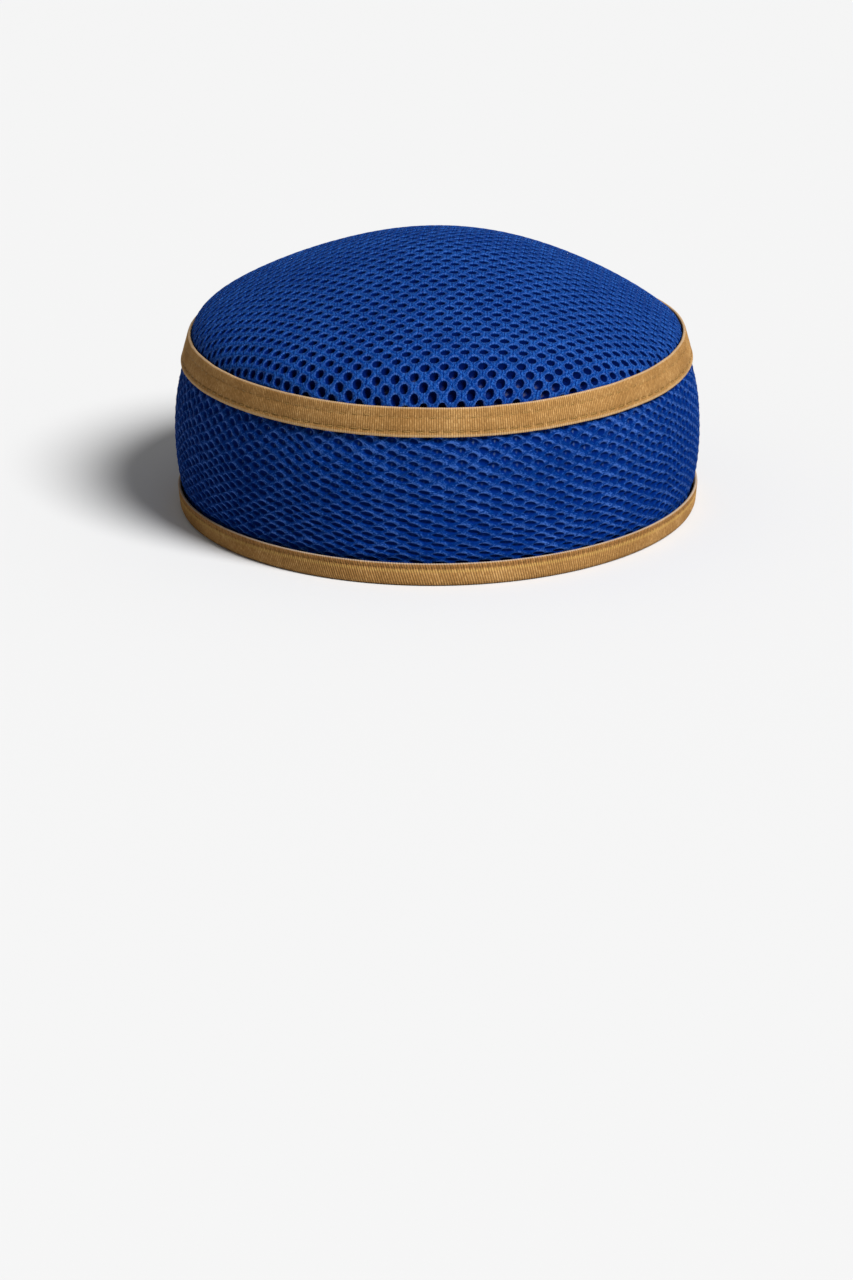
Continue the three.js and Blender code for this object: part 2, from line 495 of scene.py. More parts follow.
    # The cut edge runs on to the hem, and then through the thickness
    for depth in (given["Hem Sink"], given["Thickness"]):
        isEdge = isTrue(geo("InputMeshEdgeNeighbors"), "EQUAL", 1, "INT")
        inputs = {"Mesh": laid, "Selection": isEdge, "Offset": (0, 0, 0), "Offset Scale": 0.0}
        drawn = addNode(tree, "GeometryNodeExtrudeMesh", inputs, mode="EDGES").outputs
        sunk = scaled(named("hemOut"), math2("MULTIPLY", depth, -mm))
        target = vec("ADD", named("hemPlace"), sunk)
        laid = geo("SetPosition", {"Geometry": drawn["Mesh"], "Selection": drawn["Top"], "Position": target})

    # The back of the cloth is the form itself, a thickness further in
    back = geo("DeleteGeometry", {"Geometry": form, "Selection": named("spare", "BOOLEAN")}, domain="FACE")
    inwards = scaled(named("out"), math2("MULTIPLY", given["Thickness"], -mm))
    back = stored(back, "cloth", scaled(flatMap, 1 / mm), "FLOAT2", "CORNER")
    back = geo("SetPosition", {"Geometry": back, "Offset": inwards})
    back = geo("FlipFaces", {0: back})
    back = geo("MergeByDistance", {"Geometry": back, "Distance": clothWeld})
    back = geo("SetMaterial", {"Geometry": back, "Material": given["Back"]})
    back = stored(back, "isBack", True, "BOOLEAN", "FACE")

    # The cut edge meets the edge of the back, point on point
    nearest = geo("SampleNearest", {"Geometry": back}, domain="POINT")
    inputs = {"Geometry": back, "Value": place, "Index": nearest}
    met = geo("SampleIndex", inputs, data_type="FLOAT_VECTOR")
    laid = geo("SetPosition", {"Geometry": laid, "Selection": drawn["Top"], "Position": met})
    both = addNode(tree, "GeometryNodeJoinGeometry")
    tree.links.new(back, both.inputs[0])
    tree.links.new(laid, both.inputs[0])
    done = geo("MergeByDistance", {"Geometry": both.outputs[0], "Distance": clothWeld})
    marks = ("past", "hemOut", "hemPlace", "kept", "hem", "open", "pressed", "out", "spare", "flat", "grip")
    for name in marks:
        done = geo("RemoveAttribute", {"Geometry": done, "Name": name})
    done = geo("SetShadeSmooth", {"Geometry": done})
    done = geo("RealizeInstances", {0: done})
    inputs = {0: named("isBack", "BOOLEAN")}
    isFace = addNode(tree, "FunctionNodeBooleanMath", inputs, operation="NOT").outputs[0]
    done = geo("SetMaterial", {"Geometry": done, "Selection": isFace, "Material": given["Face"]})
    done = geo("RemoveAttribute", {"Geometry": done, "Name": "isBack"})
    tree.links.new(done, addNode(tree, "NodeGroupOutput").inputs[0])
    return tree


layTree = makeLayTree()


# Where the cut edge folds over itself in a hem, its few faces are made anew
def mendHem(mesh, faceMaterial):
    slot = list(mesh.materials).index(faceMaterial)
    cloth = bmesh.new()
    cloth.from_mesh(mesh)
    folded = [face for face in cloth.faces if face.material_index == slot
              and any(len(edge.link_faces) != 2 for edge in face.edges)]
    bmesh.ops.delete(cloth, geom=folded, context="FACES")
    gaps = [edge for edge in cloth.edges if edge.is_boundary]
    mended = bmesh.ops.holes_fill(cloth, edges=gaps, sides=0)["faces"]
    for face in mended:
        face.smooth = True
        face.material_index = slot
    print("folds in the hem:", len(folded), "faces made anew as", len(mended))
    cloth.to_mesh(mesh)
    cloth.free()


def layPiece(name, inputs):
    piece = bpy.data.objects.new(name, bpy.data.meshes.new(name))
    bpy.context.scene.collection.objects.link(piece)
    modifier = piece.modifiers.new("lay", "NODES")
    modifier.node_group = layTree
    for item in layTree.interface.items_tree:
        if item.in_out == "INPUT" and item.name in inputs:
            modifier[item.identifier] = inputs[item.name]
    settled = bpy.data.meshes.new_from_object(piece.evaluated_get(bpy.context.evaluated_depsgraph_get()))
    piece.modifiers.clear()
    piece.data = settled
    settled.name = name
    if inputs["Back"] != inputs["Face"]:
        mendHem(settled, inputs["Face"])
    triangles = sum(len(face.vertices) - 2 for face in settled.polygons)
    print(name, "laid:", triangles, "triangles")
    return piece


# Materials. Cloth patterns read the "cell" map, the place within one mesh or rib, and the "cloth" map, the
# place on the flat cloth, both in millimetres, and the attributes that the elements carry.
def startMaterial(name, sockets):
    material = bpy.data.materials.new(name)
    material.use_nodes = True
    tree = material.node_tree
    shader = tree.nodes["Principled BSDF"]
    for key, value in sockets.items():
        shader.inputs[key].default_value = value
    return material, tree, shader


def attribute(tree, name):
    return addNode(tree, "ShaderNodeAttribute", attribute_name=name)


def uvMap(tree, name):
    return addNode(tree, "ShaderNodeUVMap", uv_map=name).outputs[0]


def axes(tree, vector):
    return addNode(tree, "ShaderNodeSeparateXYZ", {0: vector}).outputs


def joinAxes(tree, x, y=0.0, z=0.0):
    return addNode(tree, "ShaderNodeCombineXYZ", {0: x, 1: y, 2: z}).outputs[0]


def calc(tree, operation, a, b=0.0, c=0.0):
    return addNode(tree, "ShaderNodeMath", {0: a, 1: b, 2: c}, operation=operation).outputs[0]


def blendColours(tree, share, a, b):
    return addNode(tree, "ShaderNodeMix", {0: share, 6: a, 7: b}, data_type="RGBA").outputs[2]


def remap(tree, value, low, high, newLow, newHigh):
    inputs = {0: value, 1: low, 2: high, 3: newLow, 4: newHigh}
    return addNode(tree, "ShaderNodeMapRange", inputs).outputs[0]


def rising(tree, value, low, high):
    return remap(tree, value, low, high, 0.0, 1.0)


def fading(tree, value, low, high, strength=1.0):
    return remap(tree, value, low, high, strength, 0.0)


def noiseAt(tree, vector, scale, detail=2.0):
    inputs = {"Vector": vector, "Scale": scale, "Detail": detail}
    return addNode(tree, "ShaderNodeTexNoise", inputs).outputs["Fac"]


def finishWith(tree, shader, colour, height, bump):
    tree.links.new(colour, shader.inputs["Base Color"])
    relief = addNode(tree, "ShaderNodeBump", {"Height": height, "Distance": bump}).outputs[0]
    tree.links.new(relief, shader.inputs["Normal"])


# Blue knit: yarns follow the strands between the holes, and the holes go down into the dark between the
# faces, with painted shade in their colour
blueKnit = {
    "rim": (0.075, 0.14, 0.37, 1), "rimCore": 0.25,
    "rimSides": (-0.15, 0.3), "rimFlecks": (0.38, 0.6, 0.15, 1.0),
    "yarnAcross": 4.6, "yarnAlong": 2.0, "yarnShift": 9.0, "sideShift": 1.7,
    "fleckScale": 1.9, "fleckTone": 0.6, "patchScale": 0.035, "patchTone": 0.2, "meshTone": 0.04,
    "midTones": (0.62, 0.92), "brightTones": (0.9, 1.18),
    # from and to what distance the loops of a knot and the split between them fade, and their strength
    "loopLight": (0.3, 0.9, 0.22), "loopSplit": (0.05, 0.28, 0.5), "knotReach": (0.35, 0.65),
    "wanderScale": 0.9, "wanderWidth": 1.3,
    "glintFrom": 0.1, "glintDrop": 0.15, "glintLots": (-0.5, 0.7), "glintLeast": 0.15, "pulledShade": 0.2,
    "bump": 0.0003,
}


def makeMeshBlue(name, net):
    material, tree, shader = startMaterial(name, {"Roughness": 0.7, "Specular IOR Level": 0.01})
    op = partial(calc, tree)
    halfPitch, rowStep = net["pitch"] / 2, net["rowStep"]
    cell = axes(tree, uvMap(tree, "cell"))
    cloth = uvMap(tree, "cloth")
    low = attribute(tree, "low").outputs["Fac"]
    lot = axes(tree, attribute(tree, "lot").outputs["Vector"])
    side = op("SIGN", cell[0])
    end = op("SIGN", cell[1])
    across = op("DIVIDE", op("ABSOLUTE", cell[0]), halfPitch)
    up = op("DIVIDE", op("ABSOLUTE", cell[1]), rowStep)
    strand = op("ADD", across, up)  # 1 along the middle of a strand, 0 in the middle of the hole
    along = op("SUBTRACT", up, across)
    # the strands on the four sides of a hole have yarns of their own
    quarter = op("MULTIPLY_ADD", side, blueKnit["sideShift"], end)
    yarnSpot = joinAxes(tree, op("MULTIPLY", strand, blueKnit["yarnAcross"]),
                        op("MULTIPLY", along, blueKnit["yarnAlong"]),
                        op("MULTIPLY_ADD", lot[1], blueKnit["yarnShift"], quarter))
    yarns = noiseAt(tree, yarnSpot, 1.0)
    flecks = noiseAt(tree, cloth, blueKnit["fleckScale"], detail=3.0)
    patches = noiseAt(tree, cloth, blueKnit["patchScale"])
    relief = op("MULTIPLY_ADD", flecks, blueKnit["fleckTone"], yarns)
    tone = op("MULTIPLY_ADD", patches, blueKnit["patchTone"], relief)
    tone = op("MULTIPLY_ADD", lot[0], blueKnit["meshTone"], tone)  # about 0.9 in the middle
    # painted light: each strand is lit along its lower side, just above a hole, and the strands of one slant
    # are lit more than the others
    upper = op("MULTIPLY_ADD", cell[0], net["strokeSlant"] * rowStep / net["pitch"], cell[1])
    lipLight = op("MULTIPLY", upper, op("SUBTRACT", strand, 1.0))
    tone = op("MULTIPLY_ADD", lipLight, net["lipLightShare"] / rowStep, tone)
    leaning = op("MULTIPLY", op("MULTIPLY", side, end), op("MULTIPLY", across, up))
    tone = op("MULTIPLY_ADD", leaning, net["strokeLightShare"], tone)
    # knots between the holes: light loops with a dark split that wanders
    isBeside = op("GREATER_THAN", across, up)
    isAbove = op("SUBTRACT", 1.0, isBeside)
    toSide = op("MULTIPLY", side, op("MULTIPLY", isBeside, halfPitch))
    toEnd = op("MULTIPLY", end, op("MULTIPLY", isAbove, rowStep))
    wandering = noiseAt(tree, cloth, blueKnit["wanderScale"], detail=1.0)
    wander = op("MULTIPLY_ADD", wandering, blueKnit["wanderWidth"], -blueKnit["wanderWidth"] / 2)
    offSplit = op("ABSOLUTE", op("SUBTRACT", op("SUBTRACT", cell[0], toSide), wander))
    offKnot = op("ABSOLUTE", op("SUBTRACT", cell[1], toEnd))
    loops = op("SUBTRACT", fading(tree, offSplit, *blueKnit["loopLight"]),
               fading(tree, offSplit, *blueKnit["loopSplit"]))
    knotFrom, knotTo = (share * rowStep for share in blueKnit["knotReach"])
    loops = op("MULTIPLY", loops, fading(tree, offKnot, knotFrom, knotTo, net["loopTone"]))
    tone = op("ADD", tone, loops)
    face = blendColours(tree, rising(tree, tone, *blueKnit["midTones"]), net["yarnDeep"], net["yarnMid"])
    face = blendColours(tree, rising(tree, tone, *blueKnit["brightTones"]), face, net["yarnBright"])
    # a painted highlight along the rim of a hole, most of all on its upper side, broken by the flecks
    fromRim = op("ABSOLUTE", op("SUBTRACT", low, net["rimMark"]))
    rim = fading(tree, fromRim, blueKnit["rimCore"] * net["rimWidth"], net["rimWidth"], net["rimShare"])
    rimLow, rimHigh = (share * rowStep for share in blueKnit["rimSides"])
    rim = op("MULTIPLY", rim, remap(tree, upper, rimLow, rimHigh, net["lowerRimHighlight"], 1.0))
    rim = op("MULTIPLY", rim, remap(tree, flecks, *blueKnit["rimFlecks"]))
    face = blendColours(tree, rim, face, blueKnit["rim"])
    # a pale inner thread deep in some holes, lit by a painted glint, most of all where the net is pulled open
    aside = op("ABSOLUTE", op("ADD", cell[1], blueKnit["glintDrop"]))
    aside = op("ADD", op("ABSOLUTE", cell[0]), aside)
    glint = fading(tree, aside, blueKnit["glintFrom"], net["glintReach"], net["glintShare"])
    glint = op("MULTIPLY", glint, rising(tree, lot[2], *blueKnit["glintLots"]))
    pulled = rising(tree, axes(tree, cloth)[1], *net["pulledHeights"]) if net["pulledHeights"] else 1.0
    least = blueKnit["glintLeast"]
    glint = op("MULTIPLY", glint, op("MULTIPLY_ADD", pulled, 1 - least, least))
    # painted shade in the holes, with the glint in it
    holeShading = blendColours(tree, glint, net["holeShade"], net["glint"])
    # painted shade in the holes: where the net isn't pulled open, it begins sooner on a hole's lower side
    shade = op("MULTIPLY", cell[1], op("MULTIPLY_ADD", pulled, blueKnit["pulledShade"] - 1, 1.0))
    deep = op("MULTIPLY_ADD", shade, net["lipShade"] / rowStep, low)
    colour = blendColours(tree, rising(tree, deep, net["shadeFrom"], net["shadeTo"]), face, holeShading)
    finishWith(tree, shader, colour, relief, blueKnit["bump"])
    return material


# The inner face of the blue cloth is a close knit of small loops
innerKnit = {
    "light": (0.014, 0.055, 0.25, 1), "deep": (0.002, 0.009, 0.05, 1),
    "loopSize": 1.3, "loopShake": 0.35, "loopFade": (0.1, 0.62),
    "patchScale": 0.05, "patchLeast": 0.45, "bump": 0.0003,
}


def makeMeshBack(name):
    material, tree, shader = startMaterial(name, {"Roughness": 0.7, "Specular IOR Level": 0.25})
    cloth = uvMap(tree, "cloth")
    inputs = {"Vector": cloth, "Scale": 1 / innerKnit["loopSize"], "Randomness": innerKnit["loopShake"]}
    cells = addNode(tree, "ShaderNodeTexVoronoi", inputs).outputs["Distance"]
    loops = fading(tree, cells, *innerKnit["loopFade"])
    patches = calc(tree, "ADD", noiseAt(tree, cloth, innerKnit["patchScale"]), innerKnit["patchLeast"])
    tone = calc(tree, "MULTIPLY", loops, patches)
    colour = blendColours(tree, tone, innerKnit["deep"], innerKnit["light"])
    finishWith(tree, shader, colour, loops, innerKnit["bump"])
    return material


# Tan tape: broken light lines on the ribs, painted shade in the furrows, pale edges that are painted
# highlights, and painted shade in a dent along each row of stitches
tanRibs = {
    "light": (0.52, 0.31, 0.12, 1), "mid": (0.335, 0.176, 0.055, 1), "deep": (0.2, 0.096, 0.026, 1),
    # the furrow colour is painted shade between the ribs, and the dent colour painted shade round the
    # stitches
    "furrowShade": (0.1, 0.044, 0.011, 1), "dentShade": (0.08, 0.04, 0.006, 1), "furrowShadeShare": 0.7,
    "dashLength": 1.5, "dashTone": 0.9, "lineShift": 40.0, "fleckScale": 1.9, "fleckTone": 0.4,
    "patchScale": 0.06, "patchTone": 0.6, "midTones": (0.6, 0.95), "lightTones": (0.95, 1.3),
    "dentDashes": (0.35, 0.6, 0.5, 1.0), "bump": 0.00012,
    "bandLowEnd": (-0.4, 0.2), "bandHighEnd": (-0.1, 0.3),
    # lowest and highest line of each tinted band, its strength and colour; the second band, below the
    # binding's stitches, is a painted highlight
    "bands": [(5.6, 7.0, 0.45, (0.24, 0.1, 0.032, 1)), (4.6, 5.4, 0.3, (0.5, 0.33, 0.09, 1))],
    # height of each pale edge, a painted highlight, its half width, strength and colour
    "edges": [(57.6, 0.5, 0.35, (0.5, 0.4, 0.29, 1)), (48.4, 0.8, 0.35, (0.55, 0.4, 0.23, 1)),
              (7.5, 0.4, 0.6, (0.34, 0.3, 0.26, 1))],
}
# Rows of stitches: height, pitch, length, slant, how strongly the painted shade in the dent shows, and how
# far stitches stray
seam = {
    "radius": 0.17, "height": 1.08, "start": 1.0, "dentEnds": (0.8, 1.3), "dentSides": (0.15, 0.5),
    "rows": {
        "crown_tape_seam":
            {"z": 50.0, "pitch": 4.4, "length": 2.9, "slant": 0.1, "dentShade": 0.65, "shake": 0.35},
        "crown_tape_upper_seam":
            {"z": 54.4, "pitch": 4.4, "length": 2.8, "slant": 0.1, "dentShade": 0.2, "shake": 0.35},
        "rim_binding_seam":
            {"z": 6.1, "pitch": 2.0, "length": 0.5, "slant": -1.2, "dentShade": 0.55, "shake": 0.7},
    },
}


def makeTapeTan(name, girth):
    material, tree, shader = startMaterial(name, {"Roughness": 0.75, "Specular IOR Level": 0.06})
    op = partial(calc, tree)
    cloth = uvMap(tree, "cloth")
    place = axes(tree, cloth)
    low = attribute(tree, "low").outputs["Fac"]
    lot = axes(tree, attribute(tree, "lot").outputs["Vector"])
    ownLine = joinAxes(tree, op("DIVIDE", place[1], tanRibs["dashLength"]),
                       op("MULTIPLY", lot[0], tanRibs["lineShift"]))
    dashes = noiseAt(tree, ownLine, 1.0, detail=1.0)
    flecks = noiseAt(tree, cloth, tanRibs["fleckScale"], detail=3.0)
    patches = noiseAt(tree, cloth, tanRibs["patchScale"])
    tone = op("MULTIPLY_ADD", flecks, tanRibs["fleckTone"], op("MULTIPLY", patches, tanRibs["patchTone"]))
    tone = op("MULTIPLY_ADD", dashes, tanRibs["dashTone"], tone)  # about 0.95 in the middle
    rib = blendColours(tree, rising(tree, tone, *tanRibs["midTones"]), tanRibs["deep"], tanRibs["mid"])
    rib = blendColours(tree, rising(tree, tone, *tanRibs["lightTones"]), rib, tanRibs["light"])
    # tinted bands; the paler one below the binding's stitches is a painted highlight
    for bandLow, bandHigh, strength, tint in tanRibs["bands"]:
        lowEnd = remap(tree, place[1], *(bandLow + past for past in tanRibs["bandLowEnd"]), 0.0, strength)
        highEnd = fading(tree, place[1], *(bandHigh + past for past in tanRibs["bandHighEnd"]))
        rib = blendColours(tree, op("MULTIPLY", lowEnd, highEnd), rib, tint)
    # painted shade in the furrows between the ribs
    colour = blendColours(tree, op("MULTIPLY", low, tanRibs["furrowShadeShare"]), rib, tanRibs["furrowShade"])
    # painted highlights along the pale edges
    for z, halfWidth, strength, tint in tanRibs["edges"]:
        beside = op("ABSOLUTE", op("SUBTRACT", place[1], z))
        colour = blendColours(tree, fading(tree, beside, halfWidth / 2, halfWidth, strength), colour, tint)
    # painted shade in a dent round each stitch
    for row in seam["rows"].values():
        stitchPitch = girth / round(girth / row["pitch"])
        fromStitch = op("DIVIDE", op("SUBTRACT", place[0], seam["start"]), stitchPitch)
        fromStitch = op("ABSOLUTE", op("SUBTRACT", fromStitch, op("ROUND", fromStitch)))
        halfShare = row["length"] / stitchPitch / 2
        dentFrom, dentTo = (halfShare * share for share in seam["dentEnds"])
        onStitch = fading(tree, fromStitch, dentFrom, dentTo, row["dentShade"])
        beside = op("ABSOLUTE", op("SUBTRACT", place[1], row["z"]))
        sideFrom, sideTo = (abs(row["slant"]) / 2 + side for side in seam["dentSides"])
        onSeam = op("MULTIPLY", onStitch, fading(tree, beside, sideFrom, sideTo))
        onSeam = op("MULTIPLY", onSeam, remap(tree, dashes, *tanRibs["dentDashes"]))
        colour = blendColours(tree, onSeam, colour, tanRibs["dentShade"])
    finishWith(tree, shader, colour, op("ADD", dashes, flecks), tanRibs["bump"])
    return material


# Thread of the stitches, with its plies twisted
thread = {
    "deep": (0.18, 0.098, 0.02, 1), "light": (0.31, 0.17, 0.042, 1),
    "twist": 1.5, "plyScale": 0.75, "plyShake": 0.6, "bump": 0.00005,
}


def makeThreadTan(name):
    material, tree, shader = startMaterial(name, {"Roughness": 0.6, "Specular IOR Level": 0.3})
    cell = axes(tree, uvMap(tree, "cell"))
    twist = joinAxes(tree, calc(tree, "MULTIPLY_ADD", cell[1], thread["twist"], cell[0]))
    inputs = {"Vector": twist, "Scale": thread["plyScale"], "Distortion": thread["plyShake"]}
    plies = addNode(tree, "ShaderNodeTexWave", inputs).outputs["Fac"]
    colour = blendColours(tree, plies, thread["deep"], thread["light"])
    finishWith(tree, shader, colour, plies, thread["bump"])
    return material


girth = stepsRound(capForm["columns"])[1]
meshBack = makeMeshBack("meshBack")
tapeTan = makeTapeTan("tapeTan", girth)
threadTan = makeThreadTan("threadTan")
print("tape, thread and inner knit finished, length round the cap:", round(girth, 1), "mm")


# A net of meshes in staggered rows, with the inner knit behind it
def layNet(name, net, form, columns, rows, startAcross, startUp):
    return layPiece(name, {
        "Element": makeCell(name + "Cell", net), "Form": form, "Columns": columns, "Rows": rows,
        "Pitch": net["pitch"], "Row Step": net["rowStep"], "Stagger": 0.5,
        "Start Across": startAcross, "Start Up": startUp,
        "Drift": net["drift"], "Drift Size": net["driftSize"], "Shake": net["shake"], "Swell": net["swell"],
        "Seed": net["seed"], "Thickness": capForm["meshThickness"], "Hem Sink": net["hemSink"],
        "Face": makeMeshBlue(net["finish"], net), "Back": meshBack})


crownNet = {
    "pitch": 6.05, "rowStep": 3.22, "columns": 39, "rows": 73, "startDown": 1.0,
    "knotHeight": -0.15, "strandHeight": -0.05, "pointed": 0.85, "holeSlant": 0.0, "lipTilt": -0.06,
    # half width, half height, height, depth mark of each ring from the rim to the floor
    "rings": [(1.66, 1.98, 0.0, 0.08), (1.54, 1.86, -0.5, 0.25), (1.36, 1.66, -2.0, 0.95)],
    "floor": -2.5,
    "drift": 1.3, "driftSize": 60.0, "shake": 0.16, "swell": 0.6, "seed": 4, "hemSink": 0.35,
    # how the cloth gives as it is drawn over the dome
    "edgeEase": 0.045, "rowEase": 0.7, "rowEaseFade": 1.5, "skew": 0.06,
    # share of the holes' size near the edge and inside, and how far from the edge it changes
    "openEdge": (0.86, 0.9), "openMiddle": (0.9, 0.64), "tallTo": 7.0, "flatFrom": 22.0, "leftLean": -0.2,
    "finish": "crownBlue",
    # yarn colours, then painted marks: shade in the holes, a highlight along their rims and a glint deep in
    # the holes
    "yarnDeep": (0.0, 0.011, 0.104, 1), "yarnMid": (0.0005, 0.0225, 0.143, 1),
    "yarnBright": (0.014, 0.073, 0.288, 1), "holeShade": (0.0, 0.0055, 0.065, 1),
    "rimMark": 0.07, "rimWidth": 0.04, "rimShare": 0.45, "lowerRimHighlight": 0.35,
    "shadeFrom": 0.1, "shadeTo": 0.24, "lipShade": 0.0,
    "lipLightShare": 0.0, "strokeSlant": 0.0, "strokeLightShare": 0.0, "loopTone": 1.0,
    "glint": (0.09, 0.095, 0.13, 1), "glintShare": 0.5, "glintReach": 1.3,
    "pulledHeights": None,  # pulled open all over
}
crown = layNet("crown_knit", crownNet, makeCrownForm("crownForm", crownNet),
               crownNet["columns"], crownNet["rows"],
               -crownNet["pitch"] * (crownNet["columns"] - 0.5) / 2,
               -crownNet["rowStep"] * (crownNet["rows"] - 1) / 2 - crownNet["startDown"])

wallNet = {
    "pitch": 7.4, "rowStep": 1.58,
    "knotHeight": 0.15, "strandHeight": 0.0, "pointed": 0.9, "holeSlant": -0.1, "lipTilt": -0.14,
    # half width, half height, height, depth mark of each ring from the rim to the floor
    "rings": [(2.1, 0.92, -0.12, 0.06), (1.72, 0.7, -0.45, 0.22), (1.3, 0.46, -0.9, 0.9)],
    "floor": -1.05,
    "drift": 5.0, "driftSize": 34.0, "shake": 0.34, "swell": 0.5, "seed": 7,
    "hemSink": -0.25,  # the hem stands out to the tapes, so that no gap shows behind them
    # heights of the cuts, of the hems' ends and of a row halfway down each hem
    "lowCut": 6.0, "highCut": 49.0, "lowHem": 1.3, "highHem": 54.7, "lowHalfway": 3.6, "highHalfway": 52.0,
    # how far apart the rows stand and how open the holes are, at the foot and at the top
    "openLow": 0.86, "openHigh": 1.24, "openFoot": (1.1, 0.94), "openTop": (0.79, 1.03),
    # the sewn edges, where the tapes press the cloth in
    "lowSeam": 7.5, "highSeam": 48.1, "seamSink": 0.9, "seamReach": 2.2, "seamRows": 3, "bodyRows": 12,
    "finish": "wallBlue",
    # yarn colours, then painted marks: shade in the holes, a highlight along their rims, light on the strands
    # and a glint deep in the holes
    "yarnDeep": (0.0, 0.011, 0.1, 1), "yarnMid": (0.0005, 0.0225, 0.138, 1),
    "yarnBright": (0.033, 0.094, 0.335, 1), "holeShade": (0.0, 0.0105, 0.1, 1),
    "rimMark": 0.08, "rimWidth": 0.05, "rimShare": 0.5, "lowerRimHighlight": 0.0,
    "shadeFrom": 0.1, "shadeTo": 0.26, "lipShade": -0.12,
    "lipLightShare": -1.1, "strokeSlant": 0.6, "strokeLightShare": 0.3, "loopTone": 0.0,
    "glint": (0.06, 0.1, 0.19, 1), "glintShare": 0.8, "glintReach": 0.65,
    "pulledHeights": (20.0, 38.0),  # on the flat cloth
}


def wallUp(z):
    rate = (wallNet["openHigh"] - wallNet["openLow"]) / (wallNet["highCut"] - wallNet["lowCut"])
    return math.log((wallNet["openLow"] + rate * (z - wallNet["lowCut"])) / wallNet["openLow"]) / rate


def wallOpen(z):
    share = (z - wallNet["lowCut"]) / (wallNet["highCut"] - wallNet["lowCut"])
    return Vector(wallNet["openFoot"]).lerp(Vector(wallNet["openTop"]), share)


def wallPressed(z):
    fromSeam = min(z - wallNet["lowSeam"], wallNet["highSeam"] - z)
    return wallNet["seamSink"] * min(max(1 - fromSeam / wallNet["seamReach"], 0), 1) ** 2


# Rows of the form: close together at the seams, wider between them
def wallHeights():
    seamSteps = [wallNet["seamReach"] * k / wallNet["seamRows"] for k in range(wallNet["seamRows"] + 1)]
    bodyLow = wallNet["lowSeam"] + wallNet["seamReach"]
    bodyTall = wallNet["highSeam"] - wallNet["seamReach"] - bodyLow
    heights = [capForm["formLow"], wallNet["lowHem"], wallNet["lowHalfway"], wallNet["lowCut"]]
    heights += [wallNet["lowSeam"] + step for step in seamSteps]
    heights += [bodyLow + bodyTall * k / wallNet["bodyRows"] for k in range(1, wallNet["bodyRows"])]
    heights += [wallNet["highSeam"] - step for step in reversed(seamSteps)]
    return heights + [wallNet["highCut"], wallNet["highHalfway"], wallNet["highHem"], capForm["formHigh"]]


wallForm = makeWallForm("wallForm", wallHeights(), wallNet, wallUp, wallOpen, wallPressed, True)
wallColumns = round(girth / wallNet["pitch"])
wallNet["pitch"] = girth / wallColumns
wallRows = int(wallUp(wallNet["highCut"]) / wallNet["rowStep"]) + 3
sideWall = layNet("side_wall_knit", wallNet, wallForm, wallColumns, wallRows, 0.0, -wallNet["rowStep"])

# Tapes and stitches lie in one row each on a plain upright form
bandEdges = {"lowCut": capForm["formLow"], "highCut": capForm["formHigh"],
             "lowHem": capForm["formLow"], "highHem": capForm["formHigh"]}
bandSteps = 60
bandTall = capForm["formHigh"] - capForm["formLow"]
bandHeights = [capForm["formLow"] + bandTall * k / bandSteps for k in range(bandSteps + 1)]
bandForm = makeWallForm("bandForm", bandHeights, bandEdges,
                        lambda z: z, lambda z: (1, 1), lambda z: 0, False)


def layBand(name, element, columns, band, material, startAcross=0.0, startUp=0.0, shake=0.0):
    return layPiece(name, {
        "Element": element, "Form": bandForm, "Columns": columns, "Rows": 1, "Pitch": girth / columns,
        "Row Step": 1.0, "Stagger": 0.0, "Start Across": startAcross, "Start Up": startUp,
        "Drift": band["drift"], "Drift Size": band["driftSize"], "Shake": shake, "Swell": band["swell"],
        "Seed": band["seed"], "Thickness": 0.0, "Hem Sink": 0.0, "Face": material, "Back": material})


# The section of a tape is a closed loop of (offset, height, share of the rib)
tape = {
    "ribPitch": 0.78, "ribHeight": 0.1, "ribSlant": 0.0,
    "drift": 0.5, "driftSize": 14.0, "swell": 0.15, "seed": 11,
    "section": [(0.32, 57.35, 0), (0.75, 57.6, 0.5), (1.2, 57.4, 1), (1.3, 56.7, 1),
                (1.3, 54.9, 1), (1.18, 54.4, 1), (1.3, 53.9, 1), (1.32, 52.3, 1),
                (1.28, 50.4, 1), (1.08, 50.0, 1), (1.28, 49.6, 1), (1.3, 48.6, 1),
                (1.15, 48.2, 1), (0.72, 48.1, 0.5), (0.32, 48.35, 0)],
}
tapeRibs = round(girth / tape["ribPitch"])
tape["pitch"] = girth / tapeRibs
crownTape = layBand("crown_tape_ribs", makeRib("tapeRib", tape), tapeRibs, tape, tapeTan)

binding = {
    "ribPitch": 0.85, "ribHeight": 0.18, "ribSlant": 0.28,
    "drift": 0.0, "driftSize": 14.0, "swell": 0.0, "seed": 13,
    "section": [(0.32, 7.3, 0), (0.75, 7.5, 0.5), (1.18, 7.3, 1), (1.28, 6.8, 1), (1.26, 6.2, 1),
                (1.08, 5.9, 1), (1.28, 5.5, 1), (1.32, 3.6, 1), (1.3, 1.5, 1), (0.95, 0.45, 1),
                (0.1, 0.02, 1), (-3.1, 0.02, 1), (-3.95, 0.45, 1), (-4.28, 1.5, 1), (-4.28, 5.5, 1),
                (-4.2, 7.1, 1), (-3.75, 7.5, 0.5), (-3.32, 7.3, 0), (-3.32, 1.4, 0), (-2.9, 1.02, 0),
                (-0.1, 1.02, 0), (0.32, 1.4, 0)],
}
bindingRibs = round(girth / binding["ribPitch"])
binding["pitch"] = girth / bindingRibs
rimBinding = layBand("rim_binding_ribs", makeRib("bindingRib", binding), bindingRibs, binding, tapeTan)

seams = []
for name, row in seam["rows"].items():
    band = binding if name == "rim_binding_seam" else tape
    stitches = round(girth / row["pitch"])
    stitch = makeStitch(name + "Stitch", row)
    seams.append(layBand(name, stitch, stitches, band, threadTan, seam["start"], row["z"], row["shake"]))

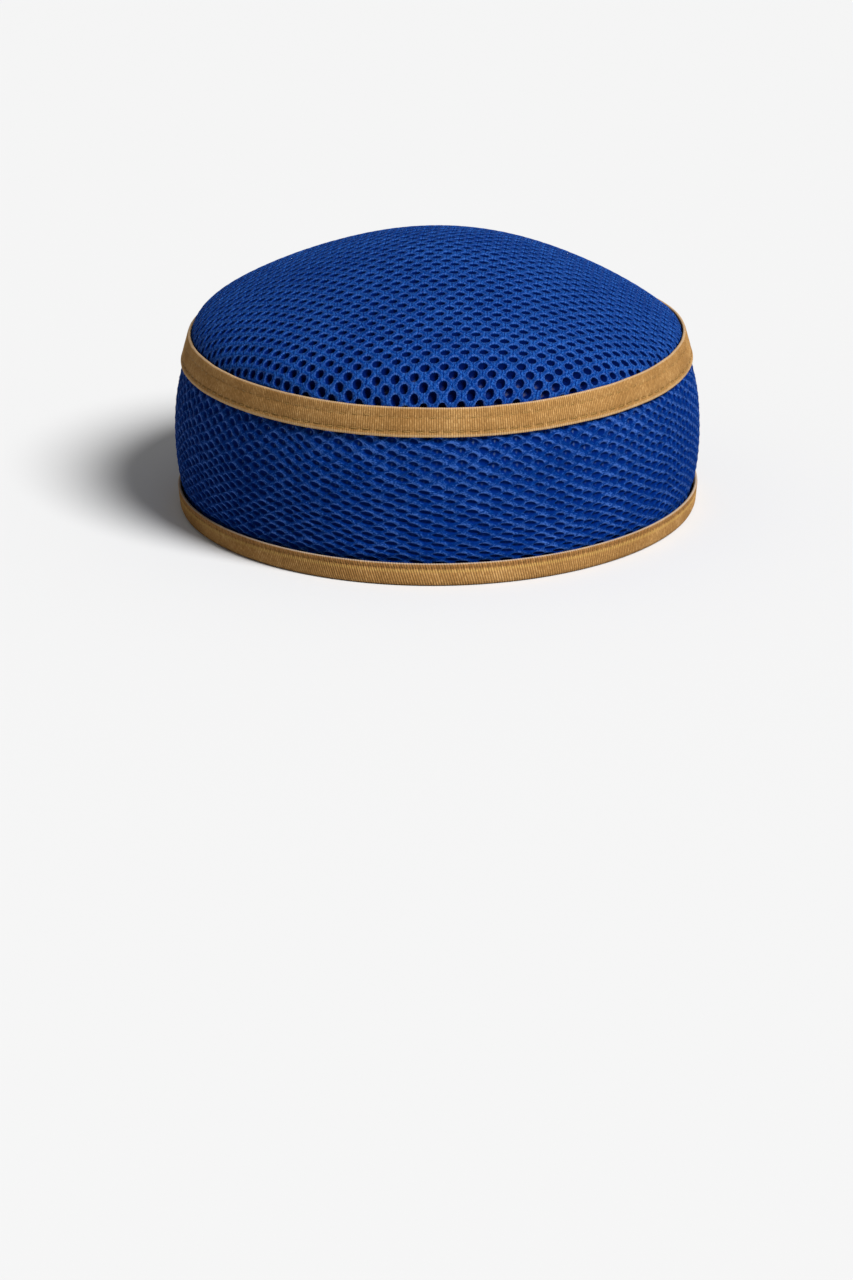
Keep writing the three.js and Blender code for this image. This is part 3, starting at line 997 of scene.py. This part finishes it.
for helper in list(bpy.context.scene.objects):
    if helper.name.endswith(("Form", "Cell", "Rib", "Stitch")):
        bpy.data.objects.remove(helper)

for piece, node, slotName in ((crown, "crown", "spacer_mesh"), (sideWall, "side_wall", "spacer_mesh"),
                              (crownTape, "crown_tape", "ribbed_tape"),
                              (rimBinding, "rim_binding", "ribbed_tape")):
    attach(piece, "root")
    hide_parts(node)
for piece in seams:
    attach(piece, "root")
print("pieces ride on the root body")

# Floor, and one large soft light from the front right, with pale light all round
studio = {
    "floorSize": 14, "floorColour": (0.6, 0.6, 0.6, 1), "world": (1.0, 1.0, 1.0, 1), "worldStrength": 0.27,
    "keyTurn": 43, "keyHeight": 45, "keyPower": 5.7, "keySoftness": 24,
}
half = studio["floorSize"] / 2
floorMesh = bpy.data.meshes.new("floor")
floorCorners = [(-half, -half, 0), (half, -half, 0), (half, half, 0), (-half, half, 0)]
floorMesh.from_pydata(floorCorners, [], [(0, 1, 2, 3)])
floor = bpy.data.objects.new("floor", floorMesh)
bpy.context.scene.collection.objects.link(floor)
floorSockets = {"Base Color": studio["floorColour"], "Roughness": 0.8, "Specular IOR Level": 0.2}
floorMesh.materials.append(startMaterial("paleFloor", floorSockets)[0])

world = bpy.data.worlds.new("studio")
world.use_nodes = True
background = world.node_tree.nodes["Background"]
background.inputs["Color"].default_value = studio["world"]
background.inputs["Strength"].default_value = studio["worldStrength"]
bpy.context.scene.world = world
bpy.context.scene.view_settings.view_transform = "Standard"

keyData = bpy.data.lights.new("key", "SUN")
keyData.energy = studio["keyPower"]
keyData.angle = math.radians(studio["keySoftness"])
key = bpy.data.objects.new("key", keyData)
key.rotation_euler = (math.radians(90 - studio["keyHeight"]), 0, math.radians(studio["keyTurn"]))
bpy.context.scene.collection.objects.link(key)

# Camera: distances in metres, angles in degrees, the lens in millimetres
view = {"distance": 2.0, "elevation": 15.5, "lens": 171.56,
        "aimLeft": 0.00407, "aimDown": 0.0449, "roll": 0.45}
tilt = math.radians(view["elevation"])
cameraData = bpy.data.cameras.new("camera")
cameraData.lens = view["lens"]
cameraData.sensor_width = 36
camera = bpy.data.objects.new("camera", cameraData)
bpy.context.scene.collection.objects.link(camera)
camera.location = (0, -view["distance"] * math.cos(tilt), view["distance"] * math.sin(tilt))
aim = Vector((-view["aimLeft"], -view["aimDown"] * math.sin(tilt), -view["aimDown"] * math.cos(tilt)))
camera.rotation_euler = (aim - camera.location).to_track_quat("-Z", "Y").to_euler()
camera.rotation_euler.rotate_axis("Z", math.radians(-view["roll"]))
bpy.context.scene.camera = camera
print("floor, light and camera ready")
